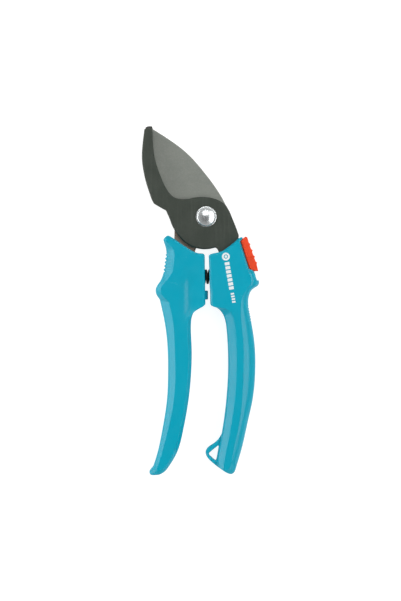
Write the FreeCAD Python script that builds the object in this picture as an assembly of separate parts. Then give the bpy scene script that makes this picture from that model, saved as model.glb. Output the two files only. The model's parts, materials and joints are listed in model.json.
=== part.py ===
# A bypass pruner with a coil opening spring and a thumb-slide lock, in millimetres.
# The tool lies flat on its back: +X right, +Y towards the blade tips, +Z up from the surface it lies on.
# Everything is drawn about the pivot and moved to the middle of its bounding box at the end.
import FreeCAD, Part
import math
import os

os.makedirs("parts", exist_ok=True)
V = FreeCAD.Vector

# ---------------------------------------------------------------- driving dimensions
HANDLE_T = 18.0                  # thickness of a handle
BEVEL_D = 3.2                    # how far down the handle's bevels run from each face
MID_Z = HANDLE_T / 2             # the plane where the two blades pass each other
BLADE_GAP = 0.04                 # running gap between the blades
COUNTER_T = 4.0                  # hooked counter blade
CUTTING_T = 3.56                 # cutting blade
COUNTER_TOP = MID_Z + COUNTER_T
CUTTING_TOP = MID_Z - BLADE_GAP
CUTTING_BOTTOM = CUTTING_TOP - CUTTING_T
GRIND_W, GRIND_D = 4.0, 2.9      # the cutting edge's ground bevel
EASE = 0.6                       # small bevel on the other blade edges

BOLT_R = 4.0                     # pivot bolt, shank radius
BUSH_R = 5.0                     # bush round the bolt, which both blades sit on
RUN_CLEAR = 0.05                 # running clearance, radial
BOLT_HEAD_R = 5.9
BOLT_HEAD_RIM = 1.1              # straight rim under the dome
BOLT_HEAD_H = 3.4
BOLT_FLAT_R = 3.9                # flat crown of the dome
BOLT_BULGE = 0.4                 # how full the dome's shoulder is
BOLT_PROUD = 0.4                 # how far the bolt's end stands out of the nut
NUT_FLATS = 13.0
NUT_T = 3.0
NUT_CHAMFER = 0.7
WASHER_R = 8.2
WASHER_T = 1.2
WASHER_CHAMFER = 0.3
WASHER_TOP = CUTTING_BOTTOM - BLADE_GAP
WASHER_BOTTOM = WASHER_TOP - WASHER_T
NUT_BOTTOM = WASHER_BOTTOM - NUT_T
THROUGH = 1.0                    # how far a cutter reaches past what it cuts

SPRING_Y = -34.4                 # coil spring across the handles
SPRING_R = 3.65                  # mean radius of the coil
SPRING_WIRE_R = 0.65
SPRING_TURNS = 7.5
SPRING_LEFT, SPRING_RIGHT = -7.6, 8.8
POCKET_R = 4.75
SEAT_FLANGE_T = 1.2
SEAT_FLANGE_R = 4.45
SEAT_PEG_R = 2.45
SEAT_PEG_L = 4.2
SEAT_PEG_CHAMFER = 0.6

PIN_R = 1.5                      # pins that hold the tangs in the handles
PIN_INSET = 3.6                  # how far each pin's ends lie below the handle's faces
LEFT_PINS = [(-15.4, -27.0), (-15.6, -43.5)]
RIGHT_PINS = [(13.9, -29.0), (16.2, -44.0)]

TRAVEL = 4.5                     # the lock slide's stroke
SLIDE_W = 13.0                   # slide's width across the handle's edge
SLIDE_CLEAR = 0.3
SLIDE_REST = 0.12                # how far the slide's inner side stands off its seat
SLIDE_CHAMFER_W, SLIDE_CHAMFER_D = 1.3, 0.8
SLIDE_RUN_START, SLIDE_RUN_SPARE = -3.0, 3.1     # the slide's groove, past its seat at either end
SLIDE_RUN_OUT = 12.0
TONGUE_W = 3.0
TONGUE_T = 2.4
TONGUE_IN = 3.5                  # the tongue's middle line, inside the handle's edge
TONGUE_Z1 = CUTTING_TOP - 0.3
TONGUE_Z0 = TONGUE_Z1 - TONGUE_T
TONGUE_START, TONGUE_END = -4.2, 13.0            # along the seat from its top
TONGUE_ROOM_START = -9.0
TONGUE_NOTCH_R = 0.7             # the dent that the leaf drops into
ARM_TOP, ARM_BOTTOM = 7.0, 11.5
ARM_OUT = 2.4
LEAF_TOP, LEAF_BOTTOM = 3.0, 12.0
LEAF_T = 0.4
LEAF_BOW = 0.7
LEAF_ROOM = 1.6
RIVET_R = 0.8
RIVET_OUT = 1.4                  # the rivet's axis, outside the handle's edge
RIVET_INSET = 1.5                # how far its ends lie below the slide's faces

PRINT_DEPTH = 0.15               # the plain white mark inlaid in the right handle
MARK_SPOT = (11.3, -22.9)
MARK_SPOT_R = 2.2
MARK_GAP = 1.0                   # from the spot to the first bar
MARK_TILT = 10.0
MARK_BARS = [(15.5, 1.4, 1.35), (5.8, 0.0, 0.95)]    # length, gap after, half width of each bar

# ---------------------------------------------------------------- outlines, about the pivot
HOOK_OUTER = [(-35.3, 50.2), (-36.5, 39.6), (-36.7, 33.3), (-35.9, 26.6), (-34.1, 18.8), (-32.2, 13.0),
              (-30.8, 9.2), (-29.9, 7.6)]
HOOK_STEP = [(-29.9, 7.6), (-26.4, 5.5), (-22.9, 3.6)]
HOOK_NECK = [(-22.9, 3.6), (-22.1, 1.7), (-20.9, -1.0), (-19.6, -4.6), (-18.1, -7.5)]
DISC_LOWER = [(-18.1, -7.5), (-12.9, -14.0), (-4.5, -18.2), (2.5, -18.3), (5.3, -17.6)]
DISC_CORNER = [(5.3, -17.6), (6.6, -18.6), (7.1, -19.8)]
COUNTER_TANG = [(7.1, -19.8), (11.0, -28.0), (13.2, -48.0), (18.4, -48.0), (19.6, -22.0), (18.1, -14.2),
                (18.7, -10.9)]
DISC_RIGHT = [(18.7, -10.9), (17.1, -6.2), (15.2, -1.5), (13.2, 3.2), (11.1, 6.8)]
DISC_UPPER = [(11.1, 6.8), (8.0, 8.9), (4.9, 10.2), (0.7, 11.1), (-3.5, 11.2), (-7.2, 10.8), (-9.7, 10.2)]
HOOK_INNER = [(-9.7, 10.2), (-12.8, 10.0), (-16.5, 10.3), (-19.1, 11.5), (-21.2, 13.6), (-25.6, 21.9),
              (-29.3, 32.8), (-30.5, 42.0), (-30.9, 50.0)]
HOOK_TIP = [(-30.9, 50.0), (-33.0, 50.5), (-35.3, 50.2)]

BLADE_TIP = [(-34.8, 51.2), (-33.5, 51.75), (-31.0, 51.85)]
BLADE_TIP_END = [(-31.0, 51.85), (-30.8, 50.3)]
BLADE_BACK = [(-30.8, 50.3), (-26.0, 47.35), (-20.4, 43.65), (-10.8, 36.2), (-2.6, 27.2), (5.8, 16.1),
              (11.1, 6.8), (12.6, 3.0)]
BLADE_HEEL = [(12.6, 3.0), (13.4, -2.5)]         # it runs on to the heel's rim
BLADE_HUB = [(2.5, -13.7), (-3.0, -15.2), (-5.9, -18.2)]
CUTTING_TANG = [(-5.9, -18.2), (-6.6, -20.3), (-11.2, -28.0), (-12.6, -48.0), (-18.2, -48.0), (-19.6, -22.0),
                (-18.1, -12.5), (-18.1, -8.1)]
BLADE_SHOULDER = [(-18.1, -8.1), (-17.4, -3.0), (-17.4, 2.0), (-18.6, 6.4)]
BLADE_EDGE = [(-18.6, 6.4), (-24.5, 14.5), (-28.2, 22.6), (-31.0, 32.0), (-32.6, 41.0), (-34.8, 51.2)]
HEEL_R = 16.6                    # how far the heel reaches from the pivot
HEEL_ANGLES = (-25.0, -62.0)
NOTCH_ANGLES = (-32.0, -45.0)    # notch in the heel that the lock's tongue faces
NOTCH_DEPTH = 2.3
NOTCH_SLANT = 2.0                # degrees that the notch's sides lean

LEFT_TOP = [(-21.7, -10.8), (-18.4, -12.8), (-14.8, -15.3), (-10.5, -18.2), (-7.0, -20.2), (-4.2, -21.1),
            (-1.6, -21.2)]
LEFT_CORNER = [(-1.6, -21.2), (-0.9, -22.1)]
LEFT_INNER = [(-0.9, -22.1), (-0.7, -38.6), (-0.5, -50.4)]
LEFT_GRIP_IN = [(-0.5, -50.4), (-3.4, -51.7), (-5.9, -53.3), (-7.9, -56.2), (-8.8, -61.5), (-8.4, -74.7),
                (-8.7, -89.9), (-10.1, -104.5), (-13.4, -123.1), (-16.6, -134.6), (-21.3, -142.8),
                (-24.1, -146.1), (-27.0, -147.7)]
LEFT_END = [(-27.0, -147.7), (-29.5, -147.9), (-32.0, -147.5), (-32.4, -146.4), (-30.3, -143.2)]
LEFT_GRIP_OUT = [(-30.3, -143.2), (-28.1, -136.4), (-24.9, -121.7), (-22.3, -104.5), (-21.7, -89.9),
                 (-22.1, -72.7), (-23.8, -59.4), (-26.5, -47.2)]
LEFT_BUMP = [(-26.5, -47.2), (-28.3, -44.7), (-28.8, -42.5), (-28.4, -40.4), (-26.3, -37.2), (-24.1, -31.4)]
LEFT_RIBBED = [(-24.1, -31.4), (-22.6, -20.8)]
LEFT_SHOULDER = [(-22.6, -20.8), (-22.9, -18.2), (-23.6, -15.7), (-24.4, -13.2)]
LEFT_PEAK = [(-24.4, -13.2), (-23.9, -11.5), (-21.7, -10.8)]
# the flat face inside the bevels, segment for segment
LEFT_FACE = [
    [(-20.9, -12.6), (-17.9, -13.9), (-14.3, -16.2), (-10.2, -19.0), (-6.8, -21.0), (-4.2, -21.9),
     (-2.1, -22.1)],
    [(-2.1, -22.1), (-1.7, -22.7)],
    [(-1.7, -22.7), (-1.5, -38.6), (-1.4, -51.4)],
    [(-1.4, -51.4), (-4.4, -53.0), (-7.2, -55.0), (-9.4, -58.2), (-10.4, -62.5), (-10.0, -74.7),
     (-10.3, -89.9), (-11.7, -104.5), (-15.0, -123.1), (-18.0, -134.0), (-22.3, -141.6), (-24.7, -144.2),
     (-26.6, -145.4)],
    [(-26.6, -145.4), (-27.6, -145.5), (-28.2, -145.2), (-28.3, -144.6), (-27.4, -142.6)],
    [(-27.4, -142.6), (-24.8, -133.5), (-20.9, -118.5), (-18.3, -104.5), (-17.5, -89.9), (-17.9, -74.7),
     (-18.9, -59.4), (-21.2, -48.8)],
    [(-21.2, -48.8), (-24.2, -46.2), (-26.0, -42.5), (-25.2, -39.6), (-22.6, -36.6), (-19.0, -31.4)],
    [(-19.0, -31.4), (-17.8, -21.8)],
    [(-17.8, -21.8), (-18.1, -19.0), (-18.9, -16.6), (-20.2, -14.2)],
    [(-20.2, -14.2), (-20.6, -13.4), (-20.9, -12.6)],
]
RIB_COUNT = 6
RIB_R = 0.45
RIB_OFFSET = 0.15                # a rib groove's axis, outside the handle's edge
STOP_ROOT, STOP_ROUND = 3.0, 0.8                 # how far the stop reaches into the handle; its corners
STOP_X, STOP_Y0, STOP_Y1 = 1.1, -47.5, -42.3
STOP_Z0, STOP_Z1 = 5.0, 13.0

RIGHT_TOP = [(1.6, -22.1), (3.2, -21.4), (6.6, -20.7), (11.3, -18.6), (14.6, -16.0), (17.4, -13.7),
             (19.5, -11.7), (21.0, -11.2)]
RIGHT_LIP = [(21.0, -11.2), (21.0, -12.3)]
RIGHT_SEAT_TOP = [(21.0, -12.3), (19.3, -13.9)]
RIGHT_SEAT = [(19.3, -13.9), (24.43, -30.05)]
RIGHT_STEP = [(24.43, -30.05), (27.2, -31.0)]
RIGHT_BUMP = [(27.2, -31.0), (28.3, -33.5), (28.9, -35.5), (29.9, -36.4), (30.3, -37.9), (29.7, -39.3),
              (27.8, -40.6), (25.6, -42.5), (24.6, -44.7), (24.0, -48.3), (24.2, -51.9)]
RIGHT_GRIP_OUT = [(24.2, -51.9), (24.9, -55.4), (26.8, -66.2), (28.1, -80.4), (28.0, -89.9), (26.6, -104.5),
                  (23.8, -117.4), (20.6, -131.7), (17.2, -143.2)]
RIGHT_END = [(17.2, -143.2), (16.0, -146.4), (14.9, -147.3), (13.1, -147.1), (8.4, -144.2)]
RIGHT_LOOP_SIDE = [(8.4, -144.2), (6.4, -141.5), (6.3, -138.5), (7.6, -131.8), (8.8, -125.5)]
RIGHT_GRIP_IN = [(8.8, -125.5), (9.6, -121.0), (11.5, -106.6), (12.7, -88.0), (12.7, -80.4), (11.9, -65.1),
                 (9.9, -56.2), (8.1, -53.6), (5.6, -51.8), (3.1, -51.0)]
RIGHT_HEEL = [(3.1, -51.0), (2.5, -50.1)]
RIGHT_INNER = [(2.5, -50.1), (2.4, -43.6), (2.1, -38.6), (1.9, -29.3), (1.6, -22.1)]
RIGHT_FACE = [
    [(2.4, -22.7), (3.6, -22.2), (6.9, -21.5), (11.8, -19.3), (15.1, -16.7), (17.2, -15.0), (18.1, -14.3),
     (18.6, -14.0)],
    [(18.6, -14.0), (18.8, -14.2)],
    [(18.8, -14.2), (18.9, -14.5)],
    [(18.9, -14.5), (24.0, -30.8)],
    [(24.0, -30.8), (24.6, -32.0)],
    [(24.6, -32.0), (25.4, -34.0), (25.8, -35.8), (25.9, -37.0), (25.7, -38.4), (25.1, -39.6),
     (23.8, -41.2), (22.3, -43.4), (21.1, -45.8), (20.2, -48.6), (19.9, -51.9)],
    [(19.9, -51.9), (20.0, -58.0), (21.1, -68.9), (21.5, -80.4), (21.3, -91.9), (20.7, -104.5),
     (19.2, -117.4), (16.3, -131.0), (14.6, -140.0)],
    [(14.6, -140.0), (14.2, -142.4), (13.2, -144.3), (11.8, -144.9), (10.2, -143.4)],
    [(10.2, -143.4), (10.1, -142.0), (10.6, -139.2), (11.9, -132.8), (13.2, -127.0)],
    [(13.2, -127.0), (14.2, -121.0), (16.4, -106.6), (17.6, -90.0), (17.7, -80.4), (17.1, -65.1),
     (15.9, -58.4), (13.4, -53.8), (9.0, -52.3), (4.4, -51.8)],
    [(4.4, -51.8), (3.7, -50.6)],
    [(3.7, -50.6), (3.5, -43.6), (3.0, -38.6), (2.8, -29.3), (2.4, -22.7)],
]
LOOP_OUTER = [(9.4, -145.3), (5.3, -142.3), (2.4, -139.8), (0.3, -137.2), (-0.3, -134.9), (0.6, -132.6),
              (2.9, -130.7), (5.5, -128.9), (7.4, -126.8), (8.9, -124.2)]
LOOP_ROOT = [(12.0, -126.0), (13.0, -143.0)]     # inside the handle, where the loop joins it
EYE_CORNERS = [(7.4, -130.6), (5.7, -139.9), (1.1, -135.8)]
EYE_ROUND = 0.95
LOOP_T = 8.0

SLIDE_CREST = [(20.85, -13.0), (22.9, -11.5), (23.7, -12.0)]
SLIDE_FOOT = [(29.9, -31.2), (27.6, -31.1)]
SLIDE_START, SLIDE_END = 0.6, 17.0               # its inner side, along the seat from the seat's top
BARB_TIP, BARB_STEP, BARBS = (25.3, -15.6), (1.3, -3.57), 4
BARB = [(-0.75, 0.55), (0.15, 0.0), (-0.25, -0.95)]  # each barb, about its tip


# ---------------------------------------------------------------- small tools
def curve(points, z):
    """A straight edge through two points, a smooth one through more."""
    at = [V(x, y, z) for x, y in points]
    if len(at) == 2:
        return Part.makeLine(at[0], at[1])
    spline = Part.BSplineCurve()
    spline.interpolate(at)
    return spline.toShape()


def lines(points):
    """Splits a chain of points into straight two-point segments."""
    return [[a, b] for a, b in zip(points[:-1], points[1:])]


def lines_3d(points):
    return [Part.makeLine(a, b) for a, b in zip(points[:-1], points[1:])]


def ring(segments, z):
    return Part.Wire([curve(s, z) for s in segments])


def slab(segments, z0, z1):
    return Part.Face(ring(segments, z0)).extrude(V(0, 0, z1 - z0))


def polygon(points, z0, z1):
    return slab(lines(list(points) + [points[0]]), z0, z1)


def skin(low, high, z0, z1):
    """A ruled solid between two outlines that match segment for segment."""
    return Part.makeLoft([ring(low, z0), ring(high, z1)], True, True)


def disc(r, z0, z1, x=0.0, y=0.0):
    return Part.makeCylinder(r, z1 - z0, V(x, y, z0))


def rod_x(r, x0, x1, y, z):
    return Part.makeCylinder(r, x1 - x0, V(x0, y, z), V(1, 0, 0))


def polar(r, degrees):
    a = math.radians(degrees)
    return (r * math.cos(a), r * math.sin(a))


def between(a, b, t):
    return (a[0] + (b[0] - a[0]) * t, a[1] + (b[1] - a[1]) * t)


# the slide's line: down the edge it sits on, and square to it, outwards
SEAT_RUN = V(RIGHT_SEAT[1][0] - RIGHT_SEAT[0][0], RIGHT_SEAT[1][1] - RIGHT_SEAT[0][1], 0)
DOWN = V(SEAT_RUN).normalize()
OUT = V(-DOWN.y, DOWN.x, 0)
SEAT_TOP = V(RIGHT_SEAT[0][0], RIGHT_SEAT[0][1], 0)
SLIDE_Z0 = MID_Z - SLIDE_W / 2
SLIDE_Z1 = MID_Z + SLIDE_W / 2


def on_seat(along, outwards):
    """A point measured down the slide's seat and outwards from it."""
    p = SEAT_TOP + DOWN * along + OUT * outwards
    return (p.x, p.y)


def seat_box(a0, a1, o0, o1, z0, z1):
    return polygon([on_seat(a0, o0), on_seat(a1, o0), on_seat(a1, o1), on_seat(a0, o1)], z0, z1)


# ---------------------------------------------------------------- blades
def counter_outline():
    return ([HOOK_OUTER, HOOK_STEP, HOOK_NECK, DISC_LOWER, DISC_CORNER] + lines(COUNTER_TANG)
            + [DISC_RIGHT, DISC_UPPER, HOOK_INNER, HOOK_TIP])


def at_height(edge, z):
    return all(abs(v.Z - z) < 1e-6 for v in edge.Vertexes)


def turning(segments):
    """+1 for an outline that runs anticlockwise, -1 for clockwise."""
    points = [p for s in segments for p in s[:-1]]
    twice = sum(a[0] * b[1] - b[0] * a[1] for a, b in zip(points, points[1:] + points[:1]))
    return math.copysign(1.0, twice)


def inset(segments, amounts):
    """The outline again, with some of its curves drawn in; their ends stay, where they meet the rest."""
    way = turning(segments)
    result = []
    for points in segments:
        amount = amounts.get(id(points), 0.0) * way
        moved = [points[0]]
        for k in range(1, len(points) - 1):
            (x0, y0), (x1, y1) = points[k - 1], points[k + 1]
            run = math.hypot(x1 - x0, y1 - y0)
            moved.append((points[k][0] - (y1 - y0) / run * amount, points[k][1] + (x1 - x0) / run * amount))
        result.append(moved + [points[-1]])
    return result


def counter_blade():
    outline = counter_outline()
    eased = inset(outline, {id(DISC_UPPER): EASE, id(HOOK_OUTER): EASE, id(DISC_LOWER): EASE})
    plate = slab(outline, MID_Z, COUNTER_TOP - EASE)
    plate = plate.fuse(skin(outline, eased, COUNTER_TOP - EASE, COUNTER_TOP))
    return plate.removeSplitter().cut(disc(BUSH_R, MID_Z - THROUGH, COUNTER_TOP + THROUGH))


def heel_notch():
    """The heel's rim, stepping in for the notch that the lock's tongue faces."""
    start, end = HEEL_ANGLES
    first, last = NOTCH_ANGLES
    low = HEEL_R - NOTCH_DEPTH
    steps = [(HEEL_R, start), (HEEL_R, (start + first) / 2), (HEEL_R, first), (low, first - NOTCH_SLANT),
             (low, last + NOTCH_SLANT), (HEEL_R, last), (HEEL_R, (end + last) / 2), (HEEL_R, end)]
    return [polar(r, angle) for r, angle in steps]


def cutting_blade():
    rim = heel_notch()
    heel = BLADE_HEEL + [rim[0]]
    hub = [rim[-1]] + BLADE_HUB
    outline = ([BLADE_TIP, BLADE_TIP_END, BLADE_BACK, heel] + lines(rim) + [hub] + lines(CUTTING_TANG)
               + [BLADE_SHOULDER, BLADE_EDGE])
    # ground from behind, so that the flat side runs against the counter blade
    ground = inset(outline, {id(BLADE_EDGE): GRIND_W, id(BLADE_BACK): EASE})
    plate = slab(outline, CUTTING_BOTTOM + GRIND_D, CUTTING_TOP)
    plate = plate.fuse(skin(ground, outline, CUTTING_BOTTOM, CUTTING_BOTTOM + GRIND_D))
    return plate.removeSplitter().cut(disc(BUSH_R + RUN_CLEAR, CUTTING_BOTTOM - THROUGH,
                                           CUTTING_TOP + THROUGH))


# ---------------------------------------------------------------- pivot
def pivot_bolt():
    """A low domed head with a straight rim and a flat crown, on a plain shank."""
    base = COUNTER_TOP
    rim, top = base + BOLT_HEAD_RIM, base + BOLT_HEAD_H
    shoulder = V((BOLT_HEAD_R + BOLT_FLAT_R) / 2 + BOLT_BULGE, 0, (rim + top) / 2 + BOLT_BULGE)
    edges = lines_3d([V(0, 0, top), V(0, 0, base), V(BOLT_HEAD_R, 0, base), V(BOLT_HEAD_R, 0, rim)])
    edges.append(Part.Arc(V(BOLT_HEAD_R, 0, rim), shoulder, V(BOLT_FLAT_R, 0, top)).toShape())
    edges.append(Part.makeLine(V(BOLT_FLAT_R, 0, top), V(0, 0, top)))
    head = Part.Face(Part.Wire(edges)).revolve(V(0, 0, 0), V(0, 0, 1), 360)
    foot = NUT_BOTTOM - BOLT_PROUD
    cone = Part.makeCone(BOLT_R - BOLT_PROUD, BOLT_R, BOLT_PROUD, V(0, 0, foot))
    return head.fuse([disc(BOLT_R, NUT_BOTTOM, base), cone]).removeSplitter()


def pivot_bush():
    hole = disc(BOLT_R, WASHER_TOP - THROUGH, COUNTER_TOP + THROUGH)
    return disc(BUSH_R, WASHER_TOP, COUNTER_TOP).cut(hole)


def pivot_washer():
    """A plain washer with its rear rim chamfered."""
    plain = disc(WASHER_R, WASHER_BOTTOM, WASHER_TOP)
    rear_rim = [e for e in plain.Edges if at_height(e, WASHER_BOTTOM) and len(e.Vertexes) == 1]
    hole = disc(BOLT_R, WASHER_BOTTOM - THROUGH, WASHER_TOP + THROUGH)
    return plain.makeChamfer(WASHER_CHAMFER, rear_rim).cut(hole)


def pivot_nut():
    r = NUT_FLATS / math.sqrt(3)
    hexagon = polygon([polar(r, 60 * k) for k in range(6)], NUT_BOTTOM, WASHER_BOTTOM)
    cone = Part.makeCone(r - NUT_CHAMFER, r + NUT_T - NUT_CHAMFER, NUT_T, V(0, 0, NUT_BOTTOM))
    hole = disc(BOLT_R, NUT_BOTTOM - THROUGH, WASHER_BOTTOM + THROUGH)
    return hexagon.common(cone).cut(hole)


# ---------------------------------------------------------------- handles
def handle_body(outline, face):
    """A handle's outline through the middle, and a bevel down from each flat face."""
    low, high = BEVEL_D, HANDLE_T - BEVEL_D
    core = slab(outline, low, high)
    front = skin(outline, face, high, HANDLE_T)
    back = skin(face, outline, 0, low)
    return core.fuse([front, back]).removeSplitter()


def pocket(x0, x1):
    return rod_x(POCKET_R, x0, x1, SPRING_Y, MID_Z)


def left_handle(tang, pins):
    outline = [LEFT_TOP, LEFT_CORNER, LEFT_INNER, LEFT_GRIP_IN, LEFT_END, LEFT_GRIP_OUT, LEFT_BUMP,
               LEFT_RIBBED, LEFT_SHOULDER, LEFT_PEAK]
    body = handle_body(outline, LEFT_FACE)
    stop = Part.makeBox(STOP_X + STOP_ROOT, STOP_Y1 - STOP_Y0, STOP_Z1 - STOP_Z0,
                        V(-STOP_ROOT, STOP_Y0, STOP_Z0))
    upright = [e for e in stop.Edges if abs(e.BoundBox.XMin - STOP_X) < 1e-6 and e.BoundBox.ZLength > 1]
    body = body.fuse(stop.makeFillet(STOP_ROUND, upright))
    for k in range(RIB_COUNT):
        x, y = between(LEFT_RIBBED[0], LEFT_RIBBED[1], (k + 0.5) / RIB_COUNT)
        body = body.cut(disc(RIB_R, -THROUGH, HANDLE_T + THROUGH, x - RIB_OFFSET, y))
    body = body.cut(pocket(SPRING_LEFT - SEAT_FLANGE_T, THROUGH))
    return body.cut(tang).cut(pins)


def eye_loop():
    """The flat loop for a lanyard at the foot of the right handle, with its rounded three-sided eye."""
    z0, z1 = MID_Z - LOOP_T / 2, MID_Z + LOOP_T / 2
    loop = slab([LOOP_OUTER] + lines([LOOP_OUTER[-1]] + LOOP_ROOT + [LOOP_OUTER[0]]), z0, z1)
    eye = polygon(EYE_CORNERS, z0 - THROUGH, z1 + THROUGH)
    eye = eye.makeFillet(EYE_ROUND, [e for e in eye.Edges if e.BoundBox.ZLength > LOOP_T])
    return loop, eye


def slide_room():
    """What the slide, its tongue and the tongue's arm sweep inside the handle."""
    gap = SLIDE_CLEAR
    length = SEAT_RUN.Length
    low, high = TONGUE_Z0 - gap, TONGUE_Z1 + gap
    inner, outer = -TONGUE_IN - TONGUE_W / 2, -TONGUE_IN + TONGUE_W / 2
    run = seat_box(SLIDE_RUN_START, length + TRAVEL + SLIDE_RUN_SPARE, 0.0, SLIDE_RUN_OUT,
                   SLIDE_Z0 - gap, SLIDE_Z1 + gap)
    tongue = seat_box(TONGUE_ROOM_START, TONGUE_END + TRAVEL + gap, inner - gap, outer + gap, low, high)
    arm = seat_box(ARM_TOP - gap, ARM_BOTTOM + TRAVEL + gap, -TONGUE_IN, THROUGH, low, high)
    leaf = seat_box(LEAF_TOP - gap, LEAF_BOTTOM + gap, inner - LEAF_ROOM, -TONGUE_IN, low, high)
    return run, tongue, arm, leaf


def right_handle(tang, pins, print_mark):
    outline = [RIGHT_TOP, RIGHT_LIP, RIGHT_SEAT_TOP, RIGHT_SEAT, RIGHT_STEP, RIGHT_BUMP, RIGHT_GRIP_OUT,
               RIGHT_END, RIGHT_LOOP_SIDE, RIGHT_GRIP_IN, RIGHT_HEEL, RIGHT_INNER]
    body = handle_body(outline, RIGHT_FACE)
    loop, eye = eye_loop()
    body = body.fuse(loop).cut(eye)
    body = body.cut(pocket(-THROUGH, SPRING_RIGHT + SEAT_FLANGE_T))
    for room in slide_room():
        body = body.cut(room)
    return body.cut(tang).cut(pins).cut(print_mark)


def tang_pins(places):
    pins = [disc(PIN_R, PIN_INSET, HANDLE_T - PIN_INSET, x, y) for x, y in places]
    return Part.makeCompound(pins)


# ---------------------------------------------------------------- spring and its seats
def opening_spring():
    """A coil across the gap, its end turns closed up against the seats."""
    length = SPRING_RIGHT - SPRING_LEFT
    pitch = (length - 2 * SPRING_WIRE_R) / SPRING_TURNS
    helix = Part.makeHelix(pitch, length - 2 * SPRING_WIRE_R, SPRING_R)
    start = V(SPRING_R, 0, 0)
    wire_ring = Part.Wire([Part.makeCircle(SPRING_WIRE_R, start, V(0, 1, 0))])
    coil = Part.Wire(helix.Edges).makePipeShell([wire_ring], True, True)
    coil.rotate(V(0, 0, 0), V(0, 1, 0), 90)
    coil.translate(V(SPRING_LEFT + SPRING_WIRE_R, SPRING_Y, MID_Z))
    return coil


def spring_seat(x_end, towards):
    """A flanged peg that the coil's end turns sit on; towards is +1 or -1 along X."""
    a, b = sorted((x_end, x_end - towards * SEAT_FLANGE_T))
    flange = rod_x(SEAT_FLANGE_R, a, b, SPRING_Y, MID_Z)
    a, b = sorted((x_end, x_end + towards * SEAT_PEG_L))
    peg = rod_x(SEAT_PEG_R, a, b, SPRING_Y, MID_Z)
    tip = x_end + towards * SEAT_PEG_L
    rim = [e for e in peg.Edges if len(e.Vertexes) == 1 and abs(e.Vertexes[0].X - tip) < 1e-6]
    return flange.fuse(peg.makeChamfer(SEAT_PEG_CHAMFER, rim))


# ---------------------------------------------------------------- lock
def barbed_edge():
    """The slide's outer edge, with barbs that a thumb can push down."""
    tips = [(BARB_TIP[0] + BARB_STEP[0] * k, BARB_TIP[1] + BARB_STEP[1] * k) for k in range(BARBS)]
    return [(x + dx, y + dy) for x, y in tips for dx, dy in BARB]


def lock_slide():
    """A block with barbs outside and a chamfer along each long inner edge."""
    inner_side = [on_seat(SLIDE_END, SLIDE_REST), on_seat(SLIDE_START, SLIDE_REST)]
    block = polygon(SLIDE_CREST + barbed_edge() + SLIDE_FOOT + inner_side, SLIDE_Z0, SLIDE_Z1)
    near, far = (V(*on_seat(along, SLIDE_REST), 0) for along in (-SLIDE_RUN_OUT, 2 * SLIDE_RUN_OUT))
    for z, turn in ((SLIDE_Z1, 1), (SLIDE_Z0, -1)):
        corner = near + V(0, 0, z)
        below = corner - V(0, 0, SLIDE_CHAMFER_D * turn)
        beside = corner + OUT * SLIDE_CHAMFER_W
        wedge = Part.Face(Part.Wire(lines_3d([corner, below, beside, corner])))
        block = block.cut(wedge.extrude(far - near))
    return block


def lock_tongue():
    strip = seat_box(TONGUE_START, TONGUE_END, -TONGUE_IN - TONGUE_W / 2, -TONGUE_IN + TONGUE_W / 2,
                     TONGUE_Z0, TONGUE_Z1)
    arm = seat_box(ARM_TOP, ARM_BOTTOM, -TONGUE_IN, ARM_OUT, TONGUE_Z0, TONGUE_Z1)
    x, y = on_seat((LEAF_TOP + LEAF_BOTTOM) / 2, -TONGUE_IN - TONGUE_W / 2)
    dent = disc(TONGUE_NOTCH_R, TONGUE_Z0 - THROUGH, TONGUE_Z1 + THROUGH, x, y)
    return strip.fuse(arm).removeSplitter().cut(dent)


def lock_rivet():
    x, y = on_seat((ARM_TOP + ARM_BOTTOM) / 2, RIVET_OUT)
    return disc(RIVET_R, SLIDE_Z0 + RIVET_INSET, SLIDE_Z1 - RIVET_INSET, x, y)


def lock_leaf_spring():
    """A thin bowed leaf in the handle that drops into the tongue's notch at each end of its stroke."""
    wall = -TONGUE_IN - TONGUE_W / 2 - LEAF_ROOM
    mid = (LEAF_TOP + LEAF_BOTTOM) / 2
    near_side = [on_seat(LEAF_TOP, wall), on_seat(mid, wall + LEAF_BOW), on_seat(LEAF_BOTTOM, wall)]
    far_side = [on_seat(LEAF_BOTTOM, wall + LEAF_T), on_seat(mid, wall + LEAF_BOW + LEAF_T),
                on_seat(LEAF_TOP, wall + LEAF_T)]
    segments = [near_side, [near_side[-1], far_side[0]], far_side, [far_side[-1], near_side[0]]]
    return slab(segments, TONGUE_Z0, TONGUE_Z1)


# ---------------------------------------------------------------- plain mark on the right handle
def handle_mark():
    """A round spot and two slim bars in line with it."""
    z0, z1 = HANDLE_T - PRINT_DEPTH, HANDLE_T
    x, y = MARK_SPOT
    pieces = [disc(MARK_SPOT_R, z0, z1, x, y)]
    a = math.radians(-90 + MARK_TILT)
    along, side = V(math.cos(a), math.sin(a), 0), V(-math.sin(a), math.cos(a), 0)
    start = V(x, y, 0) + along * (MARK_SPOT_R + MARK_GAP)
    for length, gap, half in MARK_BARS:
        end = start + along * length
        corners = [start + side * half, end + side * half, end - side * half, start - side * half]
        pieces.append(polygon([(p.x, p.y) for p in corners], z0, z1))
        start = end + along * gap
    return Part.makeCompound(pieces)


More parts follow.
